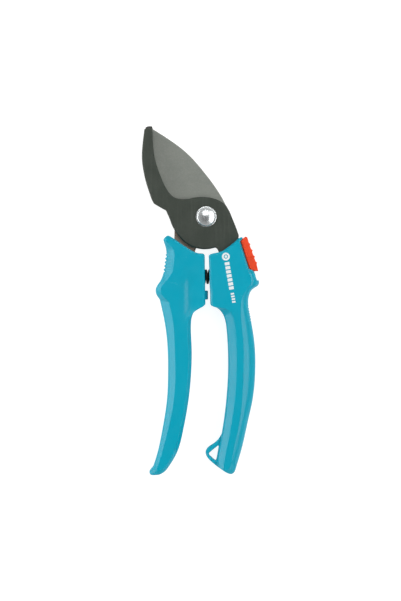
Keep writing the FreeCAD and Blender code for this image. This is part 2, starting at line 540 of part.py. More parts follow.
def build():
    counter = counter_blade()
    cutting = cutting_blade()
    left_pins, right_pins = tang_pins(LEFT_PINS), tang_pins(RIGHT_PINS)
    mark = handle_mark()
    tongue, rivet = lock_tongue(), lock_rivet()
    slot = seat_box(ARM_TOP, ARM_BOTTOM, -THROUGH, ARM_OUT, TONGUE_Z0, TONGUE_Z1)
    slide = lock_slide().cut(slot).cut(rivet)
    return {
        "counter_blade": counter.cut(right_pins),
        "right_handle": right_handle(counter, right_pins, mark),
        "right_tang_pins": right_pins,
        "pivot_bolt": pivot_bolt(),
        "pivot_bush": pivot_bush(),
        "pivot_washer": pivot_washer(),
        "pivot_nut": pivot_nut(),
        "opening_spring": opening_spring(),
        "spring_seat_right": spring_seat(SPRING_RIGHT, -1),
        "lock_leaf_spring": lock_leaf_spring(),
        "handle_mark": mark,
        "cutting_blade": cutting.cut(left_pins),
        "left_handle": left_handle(cutting, left_pins),
        "left_tang_pins": left_pins,
        "spring_seat_left": spring_seat(SPRING_LEFT, 1),
        "lock_slide": slide,
        "lock_tongue": tongue.cut(rivet),
        "lock_rivet": rivet,
    }


def main():
    nodes = build()
    boxes = [s.optimalBoundingBox(False, False) for s in nodes.values()]
    cx = (min(b.XMin for b in boxes) + max(b.XMax for b in boxes)) / 2
    cy = (min(b.YMin for b in boxes) + max(b.YMax for b in boxes)) / 2
    for name, shape in nodes.items():
        shape.translate(V(-cx, -cy, 0))
        shape.exportStep("parts/%s.step" % name)
        print(name, "solids", len(shape.Solids), "valid", shape.isValid(), "volume %.1f" % shape.Volume)
    print("pivot at x %.4f y %.4f mm" % (-cx, -cy))
    print("size %.2f x %.2f x %.2f mm" % (
        max(b.XMax for b in boxes) - min(b.XMin for b in boxes),
        max(b.YMax for b in boxes) - min(b.YMin for b in boxes),
        max(b.ZMax for b in boxes) - min(b.ZMin for b in boxes)))


main()
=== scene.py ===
"""Looks of a bypass pruner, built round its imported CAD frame.

Outlines are millimetres from the pivot, X right and Y towards the blade tips, seen from the front. Each is a
chain of curves: two points are a straight run, more are a smooth one. Most heights come from the frame.
"""

import json
import math

import bmesh
import bpy
import numpy as np
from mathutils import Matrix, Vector
from mathutils.geometry import delaunay_2d_cdt


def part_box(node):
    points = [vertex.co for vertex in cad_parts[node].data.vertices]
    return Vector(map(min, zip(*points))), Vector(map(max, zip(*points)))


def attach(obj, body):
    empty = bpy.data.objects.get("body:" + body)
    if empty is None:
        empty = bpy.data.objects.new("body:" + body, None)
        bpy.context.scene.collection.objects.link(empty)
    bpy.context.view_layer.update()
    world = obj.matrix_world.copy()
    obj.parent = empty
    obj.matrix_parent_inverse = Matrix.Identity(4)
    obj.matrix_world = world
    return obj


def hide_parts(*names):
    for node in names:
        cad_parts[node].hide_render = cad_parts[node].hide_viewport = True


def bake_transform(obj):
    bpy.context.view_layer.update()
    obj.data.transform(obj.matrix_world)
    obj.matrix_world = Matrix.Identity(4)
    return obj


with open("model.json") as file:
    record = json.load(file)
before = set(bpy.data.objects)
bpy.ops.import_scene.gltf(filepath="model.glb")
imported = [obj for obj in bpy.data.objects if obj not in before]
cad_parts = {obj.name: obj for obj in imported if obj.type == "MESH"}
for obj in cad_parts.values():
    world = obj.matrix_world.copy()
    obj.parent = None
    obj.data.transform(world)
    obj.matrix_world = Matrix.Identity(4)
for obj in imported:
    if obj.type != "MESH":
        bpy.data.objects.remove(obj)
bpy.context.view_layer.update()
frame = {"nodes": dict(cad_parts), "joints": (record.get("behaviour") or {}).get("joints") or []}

MM = 0.001
JOINTS = {joint["name"]: joint for joint in frame["joints"]}
PIVOT = Vector(JOINTS["blade_pivot"]["pos_m"])
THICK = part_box("left_handle")[1].z / MM          # handle thickness, mm
FIXED, MOVING, LOCK = "fixed_half", "moving_half", "lock"
STEP = 0.45                                      # spacing of points along an outline, mm
SWELL = 0.13                                     # what rounding takes off an outline, put back, mm
ROUND = 96                                       # sides of a turned part
ANGLES = [2 * math.pi * k / ROUND for k in range(ROUND)]

# ---------------------------------------------------------------- outlines
COUNTER_BLADE = [
    [(-35.3, 50.2), (-36.5, 39.6), (-36.7, 33.3), (-35.9, 26.6), (-34.1, 18.8), (-32.2, 13.0), (-30.8, 9.2),
     (-29.9, 7.6)],
    [(-29.9, 7.6), (-26.4, 5.5), (-22.9, 3.6)],
    [(-22.9, 3.6), (-22.1, 1.7), (-20.9, -1.0), (-19.6, -4.6), (-18.1, -7.5)],
    [(-18.1, -7.5), (-12.9, -14.0), (-4.5, -18.2), (2.5, -18.3), (5.3, -17.6)],
    [(5.3, -17.6), (6.6, -18.6), (7.1, -19.8)],
    [(7.1, -19.8), (11.0, -28.0)], [(11.0, -28.0), (13.2, -48.0)], [(13.2, -48.0), (18.4, -48.0)],
    [(18.4, -48.0), (19.6, -22.0)], [(19.6, -22.0), (18.1, -14.2)], [(18.1, -14.2), (18.7, -10.9)],
    [(18.7, -10.9), (17.1, -6.2), (15.2, -1.5), (13.2, 3.2), (11.1, 6.8)],
    [(11.1, 6.8), (8.0, 8.9), (4.9, 10.2), (0.7, 11.1), (-3.5, 11.2), (-7.2, 10.8), (-9.7, 10.2)],
    [(-9.7, 10.2), (-12.8, 10.0), (-16.5, 10.3), (-19.1, 11.5), (-21.2, 13.6), (-25.6, 21.9), (-29.3, 32.8),
     (-30.5, 42.0), (-30.9, 50.0)],
    [(-30.9, 50.0), (-33.0, 50.5), (-35.3, 50.2)],
]
COUNTER_EASE = {0: 0.55, 1: 0.5, 2: 0.45, 3: 0.7, 12: 0.85, 13: 0.25}   # bevel width by curve, mm
EASE, EASE_SLOPE = 0.22, 0.8                     # both blades' bevel width elsewhere, mm, and depth for width

CUTTING_BLADE = [
    [(-34.8, 51.2), (-33.5, 51.75), (-31.0, 51.85)], [(-31.0, 51.85), (-30.8, 50.3)],
    [(-30.8, 50.3), (-26.0, 47.35), (-20.4, 43.65), (-10.8, 36.2), (-2.6, 27.2), (5.8, 16.1), (11.1, 6.8),
     (12.6, 3.0)],
    [(12.6, 3.0), (13.4, -2.5), (15.0, -7.0)],
    [(15.0, -7.0), (14.1, -8.8)], [(14.1, -8.8), (11.9, -8.0)], [(11.9, -8.0), (10.5, -9.8)],
    [(10.5, -9.8), (11.7, -11.7)], [(11.7, -11.7), (7.8, -14.65)],
    [(7.8, -14.65), (2.5, -13.7), (-3.0, -15.2), (-5.9, -18.2)],
    [(-5.9, -18.2), (-6.6, -20.3)], [(-6.6, -20.3), (-11.2, -28.0)], [(-11.2, -28.0), (-12.6, -48.0)],
    [(-12.6, -48.0), (-18.2, -48.0)], [(-18.2, -48.0), (-19.6, -22.0)], [(-19.6, -22.0), (-18.1, -12.5)],
    [(-18.1, -12.5), (-18.1, -8.1)],
    [(-18.1, -8.1), (-17.4, -3.0), (-17.4, 2.0), (-18.6, 6.4)],
    [(-18.6, 6.4), (-24.5, 14.5), (-28.2, 22.6), (-31.0, 32.0), (-32.6, 41.0), (-34.8, 51.2)],
]
CUTTING_EASE = {2: 0.4}                          # bevel width on its back, mm
CUTTING_EDGE = len(CUTTING_BLADE) - 1
GRIND_W, GRIND_D = 4.0, 3.2                      # how wide and deep the edge is ground from behind, mm

LEFT_OUTLINE = [
    [(-21.7, -10.8), (-18.4, -12.8), (-14.8, -15.3), (-10.5, -18.2), (-7.0, -20.2), (-4.2, -21.1),
     (-1.6, -21.2)],
    [(-1.6, -21.2), (-0.9, -22.1)],
    [(-0.9, -22.1), (-0.7, -38.6), (-0.5, -50.4)],
    [(-0.5, -50.4), (-3.4, -51.7), (-5.9, -53.3), (-7.9, -56.2), (-8.8, -61.5), (-8.4, -74.7), (-8.7, -89.9),
     (-10.1, -104.5), (-13.4, -123.1), (-16.6, -134.6), (-21.3, -142.8), (-24.1, -146.1), (-27.0, -147.7)],
    [(-27.0, -147.7), (-29.5, -147.9), (-32.0, -147.5), (-32.4, -146.4), (-30.3, -143.2)],
    [(-30.3, -143.2), (-28.1, -136.4), (-24.9, -121.7), (-22.3, -104.5), (-21.7, -89.9), (-22.1, -72.7),
     (-23.8, -59.4), (-26.5, -47.2)],
    [(-26.5, -47.2), (-28.3, -44.7), (-28.8, -42.5), (-28.4, -40.4), (-26.3, -37.2), (-24.1, -31.4)],
    [(-24.1, -31.4), (-22.6, -20.8)],
    [(-22.6, -20.8), (-22.9, -18.2), (-23.6, -15.7), (-24.4, -13.2)],
    [(-24.4, -13.2), (-23.3, -11.8), (-21.7, -10.8)],
]
LEFT_FACE = [
    [(-21.6, -12.0), (-17.9, -13.9), (-14.3, -16.2), (-10.2, -19.0), (-6.8, -21.0), (-4.2, -21.9),
     (-2.1, -22.1)],
    [(-2.1, -22.1), (-1.7, -22.7)],
    [(-1.7, -22.7), (-1.5, -38.6), (-1.4, -51.4)],
    [(-1.4, -51.4), (-4.4, -53.0), (-7.2, -55.0), (-9.4, -58.2), (-10.4, -62.5), (-10.0, -74.7),
     (-10.3, -89.9), (-11.7, -104.5), (-15.0, -123.1), (-18.0, -134.0), (-22.3, -141.6), (-24.7, -144.2),
     (-26.6, -145.4)],
    [(-26.6, -145.4), (-27.6, -145.5), (-28.2, -145.2), (-28.3, -144.6), (-27.4, -142.6)],
    [(-27.4, -142.6), (-24.8, -133.5), (-20.9, -118.5), (-18.3, -104.5), (-17.5, -89.9), (-17.9, -74.7),
     (-18.9, -59.4), (-21.2, -48.8)],
    [(-21.2, -48.8), (-24.2, -46.2), (-26.0, -42.5), (-25.2, -39.6), (-22.6, -36.6), (-19.0, -31.4)],
    [(-19.0, -31.4), (-17.8, -21.8)],
    [(-17.8, -21.8), (-18.8, -18.8), (-20.8, -16.0), (-23.3, -13.6)],
    [(-23.3, -13.6), (-22.8, -12.7), (-21.6, -12.0)],
]
LEFT_RIBS = (7, 5, 0.85)                         # which curve has ribs, how many, and their height in mm
FACE_DIP = 1.0                                   # how far its face dips at the crease, mm
# where the dip fades at its top, bottom, left and right, and over how far, mm
DIP_FADES = ((-30.0, 10.0), (-68.0, 14.0), (-12.5, 2.6), (-2.4, 7.5))

SEAT_TOP, SEAT_FOOT = (19.3, -13.9), (24.45, -30.05)    # ends of the edge that the lock slide runs along
RIGHT_OUTLINE = [
    [(1.6, -22.1), (3.2, -21.4), (6.6, -20.7), (11.3, -18.6), (14.6, -16.0), (17.4, -13.7), (19.5, -11.7),
     (21.0, -11.2)],
    [(21.0, -11.2), (21.0, -12.3)],
    [(21.0, -12.3), SEAT_TOP],
    [SEAT_TOP, SEAT_FOOT],
    [SEAT_FOOT, (27.2, -31.0)],
    [(27.2, -31.0), (28.3, -33.5), (28.9, -35.5), (29.9, -36.4), (30.3, -37.9), (29.7, -39.3), (27.8, -40.6),
     (25.6, -42.5), (24.6, -44.7), (24.0, -48.3), (24.2, -51.9)],
    [(24.2, -51.9), (24.9, -55.4), (25.9, -61.0)],
    [(25.9, -61.0), (26.8, -66.2), (28.1, -80.4), (28.0, -89.9), (26.6, -104.5), (23.8, -117.4),
     (20.6, -131.7), (17.2, -143.2)],
    [(17.2, -143.2), (16.0, -146.4), (14.9, -147.3), (13.1, -147.1), (8.4, -144.2)],
    [(8.4, -144.2), (6.4, -141.5), (6.3, -138.5), (7.6, -131.8), (8.8, -125.5)],
    [(8.8, -125.5), (9.6, -121.0), (11.5, -106.6), (12.7, -88.0), (12.7, -80.4), (11.9, -65.1), (9.9, -56.2),
     (8.1, -53.6), (5.6, -51.8), (3.1, -51.0)],
    [(3.1, -51.0), (2.5, -50.1)],
    [(2.5, -50.1), (2.4, -43.6), (2.1, -38.6), (1.9, -29.3), (1.6, -22.1)],
]
RIGHT_FACE = [
    [(2.4, -22.7), (3.6, -22.2), (6.9, -21.5), (11.8, -19.3), (15.1, -16.7), (17.2, -15.0), (18.1, -14.3),
     (18.6, -14.0)],
    [(18.6, -14.0), (18.8, -14.2)],
    [(18.8, -14.2), (18.9, -14.5)],
    [(18.9, -14.5), (24.0, -30.8)],
    [(24.0, -30.8), (24.6, -32.0)],
    [(24.6, -32.0), (25.4, -34.0), (25.8, -35.8), (25.9, -37.0), (25.7, -38.4), (25.1, -39.6), (23.8, -41.2),
     (22.3, -43.4), (21.1, -45.8), (20.2, -48.6), (19.9, -51.9)],
    [(19.9, -51.9), (19.9, -55.8), (20.2, -61.0)],
    [(20.2, -61.0), (21.1, -68.9), (21.5, -80.4), (21.3, -91.9), (20.7, -104.5), (19.2, -117.4),
     (16.3, -131.0), (14.6, -140.0)],
    [(14.6, -140.0), (14.2, -142.4), (13.2, -144.3), (11.8, -144.9), (10.2, -143.4)],
    [(10.2, -143.4), (10.1, -142.0), (10.6, -139.2), (11.9, -132.8), (13.2, -127.0)],
    [(13.2, -127.0), (14.2, -121.0), (16.4, -106.6), (17.6, -90.0), (17.7, -80.4), (17.1, -65.1),
     (15.9, -58.4), (13.4, -53.8), (9.0, -52.3), (4.4, -51.8)],
    [(4.4, -51.8), (3.7, -50.6)],
    [(3.7, -50.6), (3.5, -43.6), (3.0, -38.6), (2.8, -29.3), (2.4, -22.7)],
]
RIGHT_RIBS = (6, 6, 0.4)                         # which curve has ribs, how many, and their height in mm
FACET_CURVES = (5, 6, 7)                         # where its bevel is in two facets
SEAT_BEVEL = {2: 1.3, 3: 1.7, 4: 1.3}            # least depth of the bevel along the slide's seat, mm

# a handle's bevel: depth for width, its least and most depth, the flat inside its rim, and its roundings, mm
BEVEL = {"slope": 0.72, "least": 0.7, "most": 3.4, "land": 0.35, "ridge": 0.7, "crease": 2.2, "shoulder": 1.2}
HANDLE_SHARP = math.radians(50)

STOP_X, STOP_Y, STOP_Z = (-2.5, 1.1), (-47.5, -42.3), (5.0, 13.0)      # the stop nub's extent, mm
STOP_BEVEL_W, STOP_BEVEL_D = 0.45, 0.5

LOOP_OUTER = [
    [(9.4, -145.3), (5.3, -142.3), (2.4, -139.8), (0.3, -137.2), (-0.3, -134.9), (0.6, -132.6), (2.9, -130.7),
     (5.5, -128.9), (7.4, -126.8), (8.9, -124.2)],
    [(8.9, -124.2), (12.0, -128.0)], [(12.0, -128.0), (13.0, -140.0)], [(13.0, -140.0), (9.4, -145.3)],
]
EYE, EYE_ROUND = [(7.4, -130.6), (5.7, -139.9), (1.1, -135.8)], 0.95
LOOP_T = 8.0                                     # thickness of the lanyard loop, mm

SLIDE_CREST = [(20.85, -13.0), (22.9, -11.5), (23.7, -12.0)]
SLIDE_TIP, SLIDE_TIP_STEP, SLIDE_TIPS = (25.3, -15.6), (1.3, -3.57), 4
SLIDE_BARB = [(-0.75, 0.55), (0.15, 0.0), (-0.25, -0.95)]               # from each tip's place
SLIDE_FOOT = [(29.9, -31.2), (27.6, -31.1)]
SLIDE_ENDS, SLIDE_OFF = (0.6, 17.0), 0.45        # its inner edge, along the seat and off it, mm
PAD_RISE, PAD_END, PAD_RAMP = 0.9, 9.2, 3.2      # the thumb pad over its upper part, mm

# the groove that the slide's foot runs in, mm; its end also goes as far as the slide travels
GROOVE_START, GROOVE_END, GROOVE_SPARE = -3, 16.95, 3.1
GROOVE_SINK, GROOVE_REACH, GROOVE_CLEAR = 0.12, 12, 0.3

POCKET_R, LEFT_POCKET, RIGHT_POCKET = 4.75, (-8.8, 1.0), (0.5, 10.0)    # holes round the spring's ends, mm
SHANK_R, BORE_R = 4.0, 4.05                      # of the bolt, and of its nut and washer
TRIANGLE_ROW, RIM_GAP = 0.866, 0.55              # for a fill's spacing: its rows apart, and off its edge


# ---------------------------------------------------------------- outlines to points
def smooth(t):
    """0 to 1 with soft ends."""
    t = min(max(t, 0.0), 1.0)
    return t * t * (3 - 2 * t)


def spline(points, count):
    """count points along a smooth curve through the given ones, the last left out."""
    p = np.array(points, float)
    if len(p) == 2:
        t = np.arange(count)[:, None] / count
        return p[0] + (p[1] - p[0]) * t
    knots = np.concatenate([[0], np.cumsum(np.linalg.norm(np.diff(p, axis=0), axis=1))])
    gaps = np.diff(knots)
    size = len(p)
    system, right = np.eye(size), np.zeros((size, 2))
    for i in range(1, size - 1):
        system[i, i - 1:i + 2] = gaps[i - 1], 2 * (gaps[i - 1] + gaps[i]), gaps[i]
        right[i] = 6 * ((p[i + 1] - p[i]) / gaps[i] - (p[i] - p[i - 1]) / gaps[i - 1])
    bend = np.linalg.solve(system, right)
    at = knots[-1] * np.arange(count) / count
    i = np.clip(np.searchsorted(knots, at, side="right") - 1, 0, size - 2)
    h = gaps[i][:, None]
    a = ((knots[i + 1] - at) / gaps[i])[:, None]
    b = 1 - a
    return a * p[i] + b * p[i + 1] + ((a ** 3 - a) * bend[i] + (b ** 3 - b) * bend[i + 1]) * h ** 2 / 6


def run_length(points):
    """Length of a chain of straight lines through the given points."""
    return float(np.linalg.norm(np.diff(np.array(points, float), axis=0), axis=1).sum())


def counts(outline, step=STEP):
    """How many points each curve of an outline gets."""
    return [max(2, math.ceil(run_length(curve) / step)) for curve in outline]


def ring(outline, numbers):
    """The points all round an outline."""
    return np.concatenate([spline(curve, n) for curve, n in zip(outline, numbers)])


def rounded(points, times):
    """A closed ring with its corners eased by passing a small average along it."""
    for _ in range(times):
        points = (np.roll(points, 1, 0) + 2 * points + np.roll(points, -1, 0)) / 4
    return points


def inward(points):
    """Unit vectors pointing into the ring, whichever way it runs."""
    ahead = np.roll(points, -2, 0) - np.roll(points, 2, 0)
    normal = np.stack([-ahead[:, 1], ahead[:, 0]], 1)
    normal /= np.maximum(np.linalg.norm(normal, axis=1, keepdims=True), 1e-9)
    nxt = np.roll(points, -1, 0)
    twice = (points[:, 0] * nxt[:, 1] - nxt[:, 0] * points[:, 1]).sum()
    return normal if twice > 0 else -normal


def spread(numbers, per_curve, default):
    """A value for each point of a ring, given by curve, eased where curves meet."""
    values = np.concatenate([np.full(n, per_curve.get(i, default)) for i, n in enumerate(numbers)])
    for _ in range(6):
        values = (np.roll(values, 1) + 2 * values + np.roll(values, -1)) / 4
    return values


def ribs(numbers, index, how_many, height):
    """Small ribs on one curve of a ring: how far each point is drawn in."""
    values = np.zeros(sum(numbers))
    first = sum(numbers[:index])
    t = np.arange(numbers[index]) / numbers[index]
    wave = (0.5 + 0.5 * np.cos(2 * math.pi * how_many * t)) ** 1.5
    values[first:first + numbers[index]] = height * (wave - 0.35)
    return values


def lifted(points, z):
    """A flat ring at a height, which may differ from point to point."""
    return np.column_stack([points, np.broadcast_to(z, len(points))])


def softened(rows, radii, samples=4):
    """Rings for a section whose corners are rounded off, each by its own radius."""
    result = [rows[0]]
    for k in range(1, len(rows) - 1):
        before, corner, after = rows[k - 1], rows[k], rows[k + 1]
        to_before, to_after = before - corner, after - corner
        a = np.linalg.norm(to_before, axis=1, keepdims=True)
        b = np.linalg.norm(to_after, axis=1, keepdims=True)
        reach = np.minimum(radii[k], 0.45 * np.minimum(a, b))
        start = corner + to_before / np.maximum(a, 1e-9) * reach
        end = corner + to_after / np.maximum(b, 1e-9) * reach
        for j in range(samples + 1):
            t = j / samples
            result.append((1 - t) ** 2 * start + 2 * t * (1 - t) * corner + t ** 2 * end)
    return result + [rows[-1]]


# ---------------------------------------------------------------- meshes
def in_scene(name, data):
    """A new object, linked to the scene."""
    obj = bpy.data.objects.new(name, data)
    bpy.context.scene.collection.objects.link(obj)
    return obj


def solid(name, verts, faces):
    """A mesh object, its vertices in mm about the pivot in plan and its heights in mm from the floor."""
    mesh = bpy.data.meshes.new(name)
    mesh.from_pydata([(x * MM + PIVOT.x, y * MM + PIVOT.y, z * MM) for x, y, z in verts], [], faces)
    mesh.validate()
    bm = bmesh.new()
    bm.from_mesh(mesh)
    bmesh.ops.recalc_face_normals(bm, faces=bm.faces)
    bm.to_mesh(mesh)
    bm.free()
    return in_scene(name, mesh)


def new_object(name, verts, faces, body, material, replaced, sharp=None):
    """A finished piece on its body, in place of the CAD nodes it stands for; sharp is an angle in degrees."""
    obj = solid(name, verts, faces)
    mesh = obj.data
    mesh.polygons.foreach_set("use_smooth", [True] * len(mesh.polygons))
    if sharp is not None:
        mesh.set_sharp_from_angle(angle=math.radians(sharp))
    mesh.materials.append(material)
    if body is not None:
        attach(obj, body)
    if replaced:
        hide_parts(*replaced)
    return obj


def strip_faces(first, second, count):
    """Quads between two rings of vertices, given by their first indices."""
    return [(first + i, first + (i + 1) % count, second + (i + 1) % count, second + i) for i in range(count)]


def filled(boundary, pitch, height):
    """Triangles over a flat region: its inner points, and faces that index the boundary then those points."""
    low, high = boundary.min(0), boundary.max(0)
    edges = np.stack([boundary, np.roll(boundary, -1, 0)], 1)
    inner = []
    rows = int((high[1] - low[1]) / (pitch * TRIANGLE_ROW)) + 1
    for r in range(rows):
        y = low[1] + (r + 0.5) * pitch * TRIANGLE_ROW
        spans = edges[(edges[:, 0, 1] > y) != (edges[:, 1, 1] > y)]
        cross = sorted(s[0, 0] + (y - s[0, 1]) / (s[1, 1] - s[0, 1]) * (s[1, 0] - s[0, 0]) for s in spans)
        for x0, x1 in zip(cross[::2], cross[1::2]):
            start = math.ceil((x0 + pitch * RIM_GAP) / pitch - 0.5 * (r % 2)) + 0.5 * (r % 2)
            x = start * pitch
            while x < x1 - pitch * RIM_GAP:
                if np.min(np.sum((boundary - (x, y)) ** 2, axis=1)) > (pitch * 0.5) ** 2:
                    inner.append((x, y))
                x += pitch
    count = len(boundary)
    points = [Vector(p) for p in boundary.tolist() + inner]
    ring_edges = [(i, (i + 1) % count) for i in range(count)]
    out, _, faces, origins, _, _ = delaunay_2d_cdt(points, ring_edges, [], 1, 1e-7)
    back = []
    for place, origin in zip(out, origins):
        if not origin:
            origin = [count + len(inner)]
            inner.append((place.x, place.y))
        back.append(origin[0])
    kept = [tuple(back[i] for i in f) for f in faces]
    return [(x, y, height(x, y)) for x, y in inner], [f for f in kept if len(set(f)) == 3]


def level(z):
    """The height of a flat face, as shell asks for it."""
    return lambda x, y: z


def shell(rows, top, bottom, pitch=2.2):
    """A closed solid from rings that run from its top face's rim to its bottom face's; top and bottom are
    functions that give the faces' heights."""
    count = len(rows[0])
    verts = [tuple(v) for row in rows for v in row]
    faces = []
    for k in range(len(rows) - 1):
        faces += strip_faces(k * count, (k + 1) * count, count)
    for row_index, height in ((0, top), (len(rows) - 1, bottom)):
        inner, tris = filled(rows[row_index][:, :2], pitch, height)
        base, offset = row_index * count, len(verts)
        verts += inner
        faces += [tuple(base + i if i < count else offset + i - count for i in t) for t in tris]
    return verts, faces


def handle_rows(outline, face, ribbed, facet_curves=(), least_depth=None):
    """Rings of a handle, from its front face's rim over the bevel, down the side and under to the back."""
    numbers = counts(outline)
    edge = rounded(ring(outline, numbers), 2)
    edge = edge + inward(edge) * (ribs(numbers, *ribbed) - SWELL)[:, None]
    rim = rounded(ring(face, numbers), 2)
    width = np.linalg.norm(edge - rim, axis=1)
    least = spread(numbers, least_depth or {}, BEVEL["least"])
    depth = np.maximum(np.minimum(width * BEVEL["slope"], BEVEL["most"]), least)
    facet = spread(numbers, {i: 1.0 for i in facet_curves}, 0.0)
    land = rounded(rim + inward(rim) * BEVEL["land"], 3)
    # where facet is 1, the bevel is shallow beside the face and steeper beyond its middle
    split = 0.5 + 0.05 * facet
    middle = rim + (edge - rim) * split[:, None]
    drop = depth * (0.5 - 0.22 * facet)
    rows = [lifted(land, THICK), lifted(rim, THICK), lifted(middle, THICK - drop),
            lifted(edge, THICK - depth), lifted(edge, depth),
            lifted(middle, drop), lifted(rim, 0.0), lifted(land, 0.0)]
    radii = [0, BEVEL["ridge"], BEVEL["crease"], BEVEL["shoulder"]]
    return softened(rows, radii + radii[::-1])


def cut(obj, cutter):
    """Takes one mesh out of another, for good, and removes the cutter."""
    modifier = obj.modifiers.new("cut", "BOOLEAN")
    modifier.operation = "DIFFERENCE"
    modifier.solver = "EXACT"
    modifier.object = cutter
    bpy.context.view_layer.update()
    result = bpy.data.meshes.new_from_object(obj.evaluated_get(bpy.context.evaluated_depsgraph_get()))
    obj.modifiers.clear()
    obj.data = result
    bpy.data.objects.remove(cutter)


def prism(points, z0, z1):
    """A plain cutter with straight sides."""
    count = len(points)
    verts = [(x, y, z) for z in (z0, z1) for x, y in points]
    faces = strip_faces(0, count, count) + [tuple(range(count - 1, -1, -1)), tuple(range(count, 2 * count))]
    return solid("cutter", verts, faces)


def tube(rings):
    """Verts and faces of a closed solid from rings that run round its section and meet the first again."""
    count = len(rings[0])
    faces = []
    for k in range(len(rings)):
        faces += strip_faces(k * count, (k + 1) % len(rings) * count, count)
    return [tuple(v) for row in rings for v in row], faces


def circle(radius, z):
    """A ring about the pivot; radius is one number, or one for each of its points."""
    radii = np.broadcast_to(radius, ROUND)
    return [(r * math.cos(a), r * math.sin(a), z) for r, a in zip(radii, ANGLES)]


def lathe(profile, count=ROUND, axis_at=(0, 0, 0), along_x=False):
    """Verts and faces of a turned solid from (radius, height) pairs; it closes on the axis at both ends."""
    verts, faces = [], []
    for r, h in profile:
        for k in range(count):
            a = 2 * math.pi * k / count
            if along_x:
                verts.append((h, axis_at[1] + r * math.cos(a), axis_at[2] + r * math.sin(a)))
            else:
                verts.append((axis_at[0] + r * math.cos(a), axis_at[1] + r * math.sin(a), h))
    for k in range(len(profile) - 1):
        faces += strip_faces(k * count, (k + 1) * count, count)
    faces.append(tuple(range(count - 1, -1, -1)))
    top = (len(profile) - 1) * count
    faces.append(tuple(range(top, top + count)))
    return verts, faces


def round_outline(centre, radius, count):
    """Points evenly round a circle."""
    angles = np.radians(np.linspace(0, 360 - 360 / count, count))
    return [(centre[0] + radius * math.cos(a), centre[1] + radius * math.sin(a)) for a in angles]


# ---------------------------------------------------------------- materials
class Look:
    """Builds one procedural material: a Principled shader with noise in its colour, roughness and bump."""

    def __init__(self, name, base, roughness, metallic=0.0, specular=0.5):
        self.material = bpy.data.materials.new(name)
        self.material.use_nodes = True
        self.tree = self.material.node_tree
        self.shader = self.tree.nodes["Principled BSDF"]
        self.base = base
        self.shader.inputs["Base Color"].default_value = (*base, 1)
        self.shader.inputs["Roughness"].default_value = roughness
        self.shader.inputs["Metallic"].default_value = metallic
        self.shader.inputs["Specular IOR Level"].default_value = specular
        self.place = self.node("ShaderNodeTexCoord").outputs["Object"]
        self.colour = None
        self.normal = None

    def node(self, kind, **settings):
        made = self.tree.nodes.new(kind)
        for key, value in settings.items():
            setattr(made, key, value)
        return made

    def link(self, source, target):
        self.tree.links.new(source, target)

    def placed(self, turn=0.0, stretch=(1, 1, 1)):
        """The object's own coordinates, turned about Z and stretched."""
        mapping = self.node("ShaderNodeMapping")
        mapping.inputs["Rotation"].default_value = (0, 0, math.radians(turn))
        mapping.inputs["Scale"].default_value = stretch
        self.link(self.place, mapping.inputs["Vector"])
        return mapping.outputs["Vector"]

    def noise(self, scale, detail=3.0, rough=0.55, vector=None, seed=0.0):
        made = self.node("ShaderNodeTexNoise", noise_dimensions="4D")
        made.inputs["Scale"].default_value = scale
        made.inputs["Detail"].default_value = detail
        made.inputs["Roughness"].default_value = rough
        made.inputs["W"].default_value = seed
        self.link(vector if vector is not None else self.place, made.inputs["Vector"])
        return made.outputs["Fac"]

    def along_y(self, start, end):
        """0 to 1 between two heights in the plan, mm from the pivot."""
        split = self.node("ShaderNodeSeparateXYZ")
        self.link(self.place, split.inputs["Vector"])
        span = self.node("ShaderNodeMapRange")
        self.link(split.outputs["Y"], span.inputs["Value"])
        span.inputs["From Min"].default_value = start * MM + PIVOT.y
        span.inputs["From Max"].default_value = end * MM + PIVOT.y
        return span.outputs["Result"]

    def ramp(self, fac, low, high, low_at=0.3, high_at=0.7):
        made = self.node("ShaderNodeValToRGB")
        for stop, value, at in zip(made.color_ramp.elements, (low, high), (low_at, high_at)):
            stop.position = at
            stop.color = (*value, 1) if hasattr(value, "__len__") else (value, value, value, 1)
        self.link(fac, made.inputs["Fac"])
        return made.outputs["Color"]

    def tint(self, fac, other, amount=1.0, low_at=0.35, high_at=0.65):
        """Mixes another colour in where fac is high."""
        mix = self.node("ShaderNodeMix", data_type="RGBA")
        mask = self.ramp(fac, 0.0, amount, low_at, high_at)
        self.link(mask, mix.inputs["Factor"])
        if self.colour is None:
            mix.inputs["A"].default_value = (*self.base, 1)
        else:
            self.link(self.colour, mix.inputs["A"])
        mix.inputs["B"].default_value = (*other, 1)
        self.colour = mix.outputs["Result"]
        return self

    def gloss(self, fac, low, high):
        self.link(self.ramp(fac, low, high), self.shader.inputs["Roughness"])
        return self

    def bump(self, fac, distance, strength=1.0):
        made = self.node("ShaderNodeBump")
        made.inputs["Strength"].default_value = strength
        made.inputs["Distance"].default_value = distance
        self.link(fac, made.inputs["Height"])
        if self.normal is not None:
            self.link(self.normal, made.inputs["Normal"])
        self.normal = made.outputs["Normal"]
        return self

    def done(self):
        if self.colour is not None:
            self.link(self.colour, self.shader.inputs["Base Color"])
        if self.normal is not None:
            self.link(self.normal, self.shader.inputs["Normal"])
        return self.material


def moulded_plastic(name, base, deep, roughness, grain=0.00004):
    """Satin moulded plastic: a fine grain, faint flow clouds and a few dull scuffs."""
    look = Look(name, base, roughness, specular=0.32)
    look.tint(look.noise(38, 3), deep, 0.5)
    look.tint(look.noise(900, 2, seed=3), deep, 0.22)
    look.gloss(look.noise(160, 4, seed=5), roughness - 0.04, roughness + 0.06)
    look.bump(look.noise(2600, 2, seed=7), grain, 0.2)
    look.bump(look.noise(120, 2, seed=8), 0.0001, 0.08)
    return look.done()


